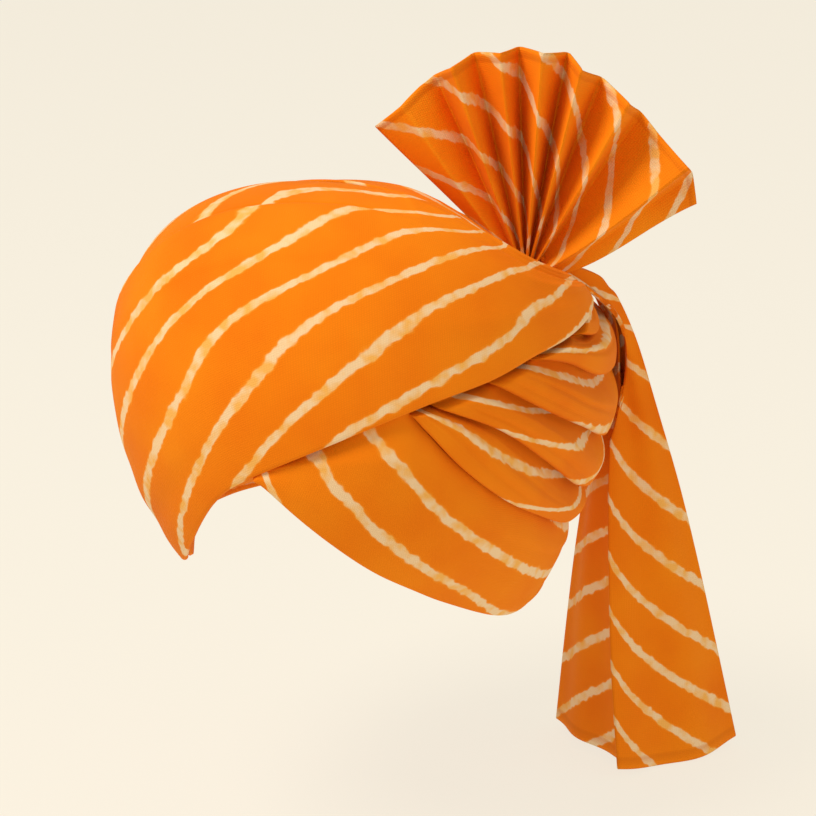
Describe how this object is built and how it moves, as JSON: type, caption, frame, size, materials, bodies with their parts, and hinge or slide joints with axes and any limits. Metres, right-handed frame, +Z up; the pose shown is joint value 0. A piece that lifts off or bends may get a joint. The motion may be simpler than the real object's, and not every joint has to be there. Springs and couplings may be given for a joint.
{
  "type": "tied turban pagri",
  "caption": "Tied turban of wound cotton cloth with gathered side folds, a standing pleated fan and a hanging tail at the rear left.",
  "frame": {"origin": "inside of the crown, straight above the middle of the head, where the turban rests on the head", "axes": "+Z up, the wearer faces -Y, +X towards the wearer's left ear"},
  "size_m": [0.2438, 0.2831, 0.3712],
  "materials": {
    "cotton_striped": "matt orange cotton with cream tie-dyed stripes",
    "cotton_starched": "crisp starched orange cotton with cream tie-dyed stripes",
    "cotton_inner": "matt plain orange cotton"
  },
  "bodies": {
    "root": {"inner_winding": "cotton_inner", "crown_wrap": "cotton_striped", "front_wrap": "cotton_striped", "ear_wrap": "cotton_striped", "side_fold_1": "cotton_striped", "side_fold_2": "cotton_striped", "side_fold_3": "cotton_striped", "side_fold_4": "cotton_striped", "side_fold_5": "cotton_striped", "turra_fan": "cotton_starched", "tail": "cotton_striped"}
  },
  "joints": []
}
